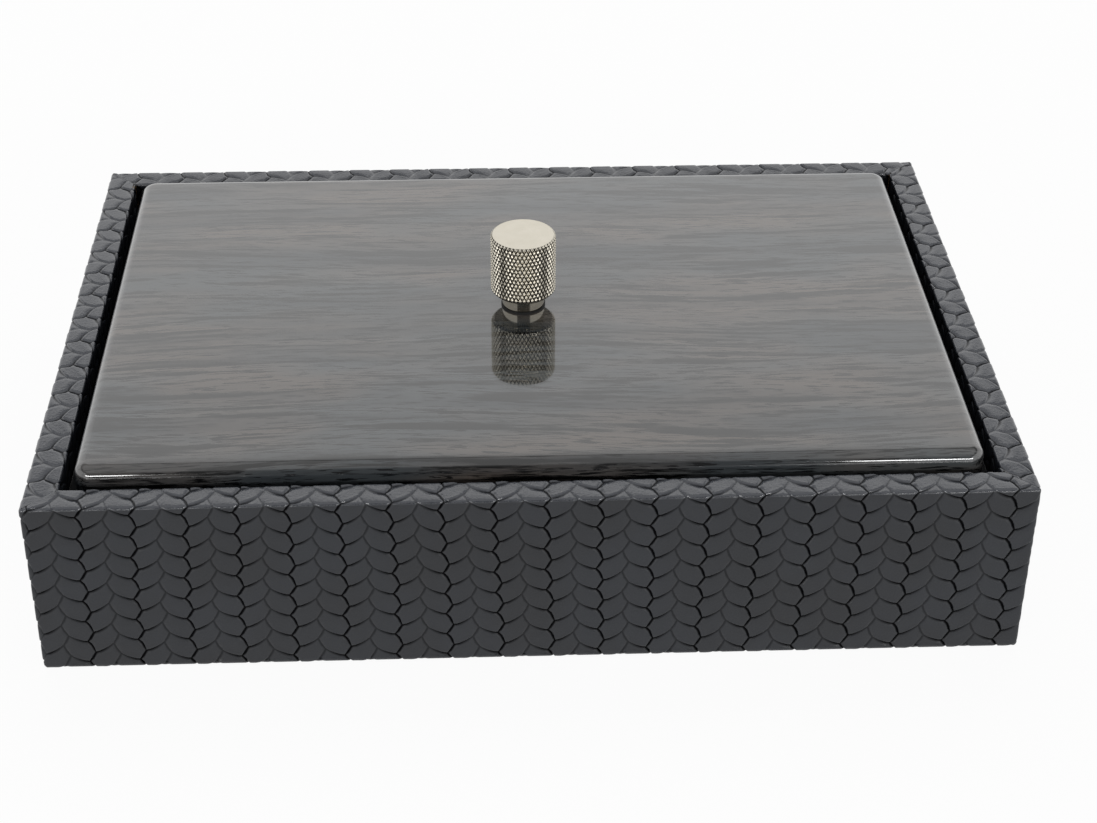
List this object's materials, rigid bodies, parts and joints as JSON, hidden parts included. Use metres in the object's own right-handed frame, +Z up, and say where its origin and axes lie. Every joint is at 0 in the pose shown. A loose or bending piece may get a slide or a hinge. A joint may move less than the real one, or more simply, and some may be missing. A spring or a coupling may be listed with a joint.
{
  "type": "enamel pin display case",
  "caption": "Rectangular leather-covered case with a drop-in lacquered oak lid, a knurled metal knob and a lift-out velvet pin board.",
  "frame": {"origin": "middle of the footprint, on the surface that the case stands on", "axes": "+X along the long side to the right, -Y towards the front, +Z up"},
  "size_m": [0.28, 0.198, 0.0852],
  "materials": {
    "carcass_board": "bare fibreboard",
    "steel_fasteners": "bright zinc plate",
    "embossed_leather": "woven-look embossing, semi-matte",
    "grey_card": "matt",
    "base_felt": "felted wool",
    "black_suede": "napped suede",
    "flocked_rail": "flocked",
    "pin_foam": "closed-cell foam",
    "pin_velvet": "short-pile velvet",
    "satin_ribbon": "satin weave",
    "lacquered_oak": "grey stain under clear gloss lacquer",
    "polished_nickel": "bright nickel plate, knurled grip",
    "black_fibre": "matt"
  },
  "bodies": {
    "case": {"base_board": "carcass_board", "wall_board_front": "carcass_board", "wall_board_back": "carcass_board", "wall_board_left": "carcass_board", "wall_board_right": "carcass_board", "corner_brads": "steel_fasteners", "base_brads": "steel_fasteners", "leather_wrap": "embossed_leather", "bottom_infill": "grey_card", "base_felt": "base_felt", "liner_board_front": "carcass_board", "liner_board_back": "carcass_board", "liner_board_left": "carcass_board", "liner_board_right": "carcass_board", "liner_suede_front": "black_suede", "liner_suede_back": "black_suede", "liner_suede_left": "black_suede", "liner_suede_right": "black_suede", "floor_card": "grey_card", "floor_suede": "black_suede", "rest_rail_front": "flocked_rail", "rest_rail_back": "flocked_rail", "rest_rail_left": "flocked_rail", "rest_rail_right": "flocked_rail"},
    "pin_tray": {"pin_board_backing": "grey_card", "pin_board_foam": "pin_foam", "pin_board_velvet": "pin_velvet", "pull_ribbon_left": "satin_ribbon", "pull_ribbon_right": "satin_ribbon"},
    "lid": {"lid_board": "lacquered_oak", "lid_locator": "carcass_board", "lid_locator_suede": "black_suede", "knob": "polished_nickel", "knob_foot_washer": "black_fibre", "knob_screw": "steel_fasteners", "knob_screw_washer": "steel_fasteners"}
  },
  "joints": [
    {"name": "tray_lift", "type": "slide", "parent": "case", "child": "pin_tray", "axis": [0, 0, 1], "range_m": [0, 0.05]},
    {"name": "lid_lift", "type": "slide", "parent": "pin_tray", "child": "lid", "axis": [0, 0, 1], "range_m": [0, 0.06]}
  ]
}
